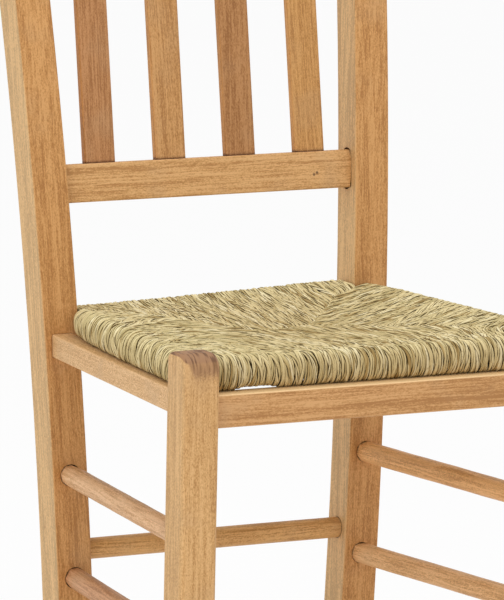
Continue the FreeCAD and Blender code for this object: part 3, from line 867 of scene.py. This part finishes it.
def weave(section, seed, material):
    """One side of the seat, as two pieces."""
    rng = np.random.default_rng(seed)
    spread = section.end - section.start
    count = round(spread / STRAND_PITCH * section.share)
    halves = (Skein(), Skein())
    for k in range(count):
        anchor = section.start + spread * (k + rng.uniform(-0.12, 0.12)) / (count - 1)
        anchor = float(np.clip(anchor, section.start, section.end))
        lay_strand(halves[2 * k >= count], section, anchor, rng)
    for number, skein in enumerate(halves, 1):
        skein.piece(f"rush_{section.name}_{number}", material)


# The stuffing under the strands, in millimetres

CORE_DEPTH = 4.2
CORE_ROUNDING = 17.0
CORE_EDGE_HEIGHT = 437.8
CORE_COLUMNS = 60


def core_rows():
    """Stations from front to rear, each with the left and right edges of the seat there."""
    front = np.linspace(FRONT_RIM + CORE_DEPTH, LEG_REAR + 1, 14)
    middle = np.linspace(LEG_REAR + 1.5, POST_FRONT - 2, 70)
    rear = np.linspace(POST_FRONT - 1.5, SEAT_HIGH.y - CORE_DEPTH, 14)
    rows = [(y, -LEG_INNER, LEG_INNER) for y in front]
    rows += [(y, edge_x(LEFT_EDGE, y), edge_x(RIGHT_EDGE, y)) for y in middle]
    return rows + [(y, -POST_INNER, POST_INNER) for y in rear]


def core_loop(y, left, right):
    """One cut through the stuffing, from its left edge over the top and back below."""
    share = (1 - np.cos(np.linspace(0, np.pi, CORE_COLUMNS))) / 2
    x = left + CORE_DEPTH + (right - left - 2 * CORE_DEPTH) * share
    inside = np.minimum(np.minimum(x - left, right - x), min(y - FRONT_RIM, SEAT_HIGH.y - y)) - CORE_DEPTH
    bulge = np.sqrt(1 - (1 - np.clip(inside / CORE_ROUNDING, 0, 1)) ** 2)
    top = CORE_EDGE_HEIGHT + (top_height(x, y) - CORE_DEPTH - CORE_EDGE_HEIGHT) * bulge
    bottom = CORE_EDGE_HEIGHT + (UNDER_HEIGHT + CORE_DEPTH - CORE_EDGE_HEIGHT) * bulge
    upper = np.stack([x, np.full(CORE_COLUMNS, y), top], 1)
    lower = np.stack([x, np.full(CORE_COLUMNS, y), bottom], 1)[::-1]
    return np.concatenate([upper, lower])


def build_core():
    """The stuffing: a closed body a little inside the strands, dark as painted shade in the gaps between
    them.
    """
    points = np.array([core_loop(*row) for row in core_rows()])
    faces = tube_faces(len(points), points.shape[1], 0)
    new_piece("rush_core", points.reshape(-1, 3), faces, core_shade_material(), "rush_seat")


# The seat frame inside the rush, in millimetres

FRAME_BARS = ("seat_bar_front", "seat_bar_rear", "seat_bar_left", "seat_bar_right")
FRAME_BLOCKS = tuple(f"{end}_corner_block_{side}" for end in ("front", "rear") for side in ("left", "right"))
TUCK_DEPTH = 12.0
TUCK_SIDE = 8.0
TUCK_LOWEST = 435.5


def tuck_under(node):
    """A bar or block of the seat frame, planed down where the strands would show it."""
    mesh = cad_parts[node].data.copy()
    mesh.name = node + "_planed"
    for vertex in mesh.vertices:
        x, y, z = vertex.co / MM
        x = float(np.clip(x, edge_x(LEFT_EDGE, y) + TUCK_SIDE, edge_x(RIGHT_EDGE, y) - TUCK_SIDE))
        y = max(y, FRONT_RIM + TUCK_SIDE)
        z = min(max(z, TUCK_LOWEST), float(top_height(x, y)) - TUCK_DEPTH)
        vertex.co = Vector((x, y, z)) * MM
    add_piece(mesh, node)


def build_rush():
    material = rush_material()
    for number, section in enumerate(SECTIONS):
        weave(section, RUSH_SEED + number, material)
    build_core()
    for node in FRAME_BARS + FRAME_BLOCKS:
        tuck_under(node)


# Surroundings

def build_camera():
    data = bpy.data.cameras.new("camera")
    data.lens, data.sensor_width = CAMERA_LENS, CAMERA_SENSOR
    data.clip_end = CAMERA_REACH
    camera = bpy.data.objects.new("camera", data)
    bpy.context.scene.collection.objects.link(camera)
    east, north = math.sin(CAMERA_AZIMUTH), math.cos(CAMERA_AZIMUTH)
    flat = math.cos(CAMERA_DIP)
    forward = Vector((east * flat, north * flat, -math.sin(CAMERA_DIP)))
    level = Vector((north, -east, 0))
    above = level.cross(forward)
    right = math.cos(CAMERA_ROLL) * level + math.sin(CAMERA_ROLL) * above
    up = math.cos(CAMERA_ROLL) * above - math.sin(CAMERA_ROLL) * level
    turn = Matrix((right, up, -forward)).transposed()
    camera.matrix_world = Matrix.Translation(CAMERA_PLACE) @ turn.to_4x4()
    bpy.context.scene.camera = camera


def build_lamps():
    for name, (place, size, power) in LAMPS.items():
        data = bpy.data.lights.new(name, "AREA")
        data.shape, data.size, data.energy = "DISK", size, power
        lamp = bpy.data.objects.new(name, data)
        lamp.location = place
        lamp.rotation_euler = (LAMP_AIM - Vector(place)).to_track_quat("-Z", "Y").to_euler()
        bpy.context.scene.collection.objects.link(lamp)


def seen_directly(tree):
    """1 for rays that show the surroundings as they are: to the camera, mirrored or through glass."""
    path = add(tree, "LightPath")
    seen = math_node(tree, "MAXIMUM", path.outputs["Is Camera Ray"], path.outputs["Is Glossy Ray"])
    return math_node(tree, "MAXIMUM", seen, path.outputs["Is Transmission Ray"])


def build_sky():
    world = bpy.data.worlds.new("studio")
    bpy.context.scene.world = world
    world.use_nodes = True
    tree = world.node_tree
    tree.nodes.clear()
    strength = ramp(tree, seen_directly(tree), 0, 1, SKY_STRENGTH, 1)
    sky = add(tree, "Background", {"Color": (1, 1, 1, 1), "Strength": strength})
    tree.links.new(sky.outputs[0], add(tree, "OutputWorld").inputs["Surface"])


def build_floor():
    material, tree = new_material("floor")
    colour = mix(tree, noise(tree, own_point(tree), 3, 3), linear(248, 248, 248), linear(253, 253, 253))
    lit = add(tree, "BsdfDiffuse", {"Color": colour})
    white = add(tree, "Emission", {"Color": (1, 1, 1, 1), "Strength": 1.0})
    share = math_node(tree, "MULTIPLY", seen_directly(tree), FLOOR_GLOW_SHARE)
    surface = add(tree, "MixShader", {0: share, 1: lit.outputs[0], 2: white.outputs[0]})
    tree.links.new(surface.outputs[0], add(tree, "OutputMaterial").inputs["Surface"])
    half = FLOOR_SIZE / 2
    corners = [(-half, -half, 0), (half, -half, 0), (half, half, 0), (-half, half, 0)]
    mesh = bpy.data.meshes.new("floor")
    mesh.from_pydata(corners, [], [(0, 1, 2, 3)])
    mesh.materials.append(material)
    floor = bpy.data.objects.new("floor", mesh)
    bpy.context.scene.collection.objects.link(floor)


bpy.context.scene.view_settings.view_transform = "Standard"
build_camera()
build_lamps()
build_sky()
build_floor()
finish_wood()
for bar_number, (bar, bar_tone) in enumerate(BARS.items()):
    turned_bar(bar, bar_tone, BAR_SEED + bar_number)
build_rush()
